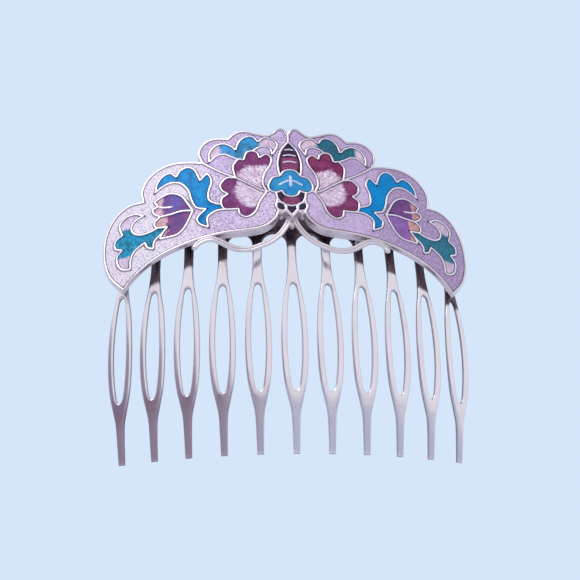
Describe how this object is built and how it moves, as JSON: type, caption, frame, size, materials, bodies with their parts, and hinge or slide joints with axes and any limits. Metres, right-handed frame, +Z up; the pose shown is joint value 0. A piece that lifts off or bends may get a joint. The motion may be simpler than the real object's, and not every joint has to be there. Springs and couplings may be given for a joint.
{
  "type": "decorative hair comb",
  "caption": "Curved metal hair comb with slotted teeth that swell round their slots, and a dished butterfly of enamel cells between fine wires in front of its spine.",
  "frame": {"origin": "the comb's base line: on the middle surface of the comb sheet, at the middle of its width, 1.9 mm below the round tops of the gaps between teeth, about where the hair stops when the comb is pushed home", "axes": "+X across the comb, towards the butterfly's wing that is on the right when seen from the front; +Y from the butterfly backwards, towards the head; +Z up, away from the tooth tips"},
  "size_m": [0.0836, 0.0177, 0.0769],
  "materials": {
    "comb_metal": "satin silver plate over stamped brass, with a rosy tint",
    "tray_metal": "satin silver plate over a pressed tray",
    "wire_metal": "polished silver-plated cell wires",
    "arm_metal": "silver-plated grooved scroll wire",
    "solder": "dull soft solder",
    "enamel_lilac": "polished lilac enamel over a stippled foil ground",
    "enamel_teal": "polished teal enamel with pale tips",
    "enamel_maroon": "polished maroon enamel fading to pale pink",
    "enamel_blue": "polished bright blue enamel",
    "enamel_purple": "polished purple enamel",
    "enamel_peach": "polished peach to purple enamel",
    "enamel_dark": "polished purple-black enamel",
    "enamel_sky": "polished sky-blue enamel"
  },
  "bodies": {
    "root": {"comb_spine": "comb_metal", "tooth_01": "comb_metal", "tooth_02": "comb_metal", "tooth_03": "comb_metal", "tooth_04": "comb_metal", "tooth_05": "comb_metal", "tooth_06": "comb_metal", "tooth_07": "comb_metal", "tooth_08": "comb_metal", "tooth_09": "comb_metal", "tooth_10": "comb_metal", "tooth_11": "comb_metal", "tray": "tray_metal", "upper_wing_left": "enamel_lilac", "upper_wing_right": "enamel_lilac", "lower_wing_left": "enamel_lilac", "lower_wing_right": "enamel_lilac", "upper_leaf_left": "enamel_teal", "upper_leaf_right": "enamel_teal", "upper_petal_left": "enamel_maroon", "upper_petal_right": "enamel_maroon", "lower_petal_left": "enamel_maroon", "lower_petal_right": "enamel_maroon", "blue_leaf_left": "enamel_blue", "blue_leaf_right": "enamel_blue", "bud_upper_left": "enamel_purple", "bud_upper_right": "enamel_purple", "bud_lower_left": "enamel_peach", "bud_lower_right": "enamel_peach", "tail_leaf_left": "enamel_teal", "tail_leaf_right": "enamel_teal", "abdomen": "enamel_dark", "head_flower": "enamel_sky", "thorax": "enamel_maroon", "head": "enamel_dark", "eye_left": "enamel_dark", "eye_right": "enamel_dark", "wires_left": "wire_metal", "wires_right": "wire_metal", "bud_wires_left": "wire_metal", "bud_wires_right": "wire_metal", "arm_left": "arm_metal", "arm_right": "arm_metal", "solder_middle_left": "solder", "solder_middle_right": "solder", "solder_tip_left": "solder", "solder_tip_right": "solder"}
  },
  "joints": []
}
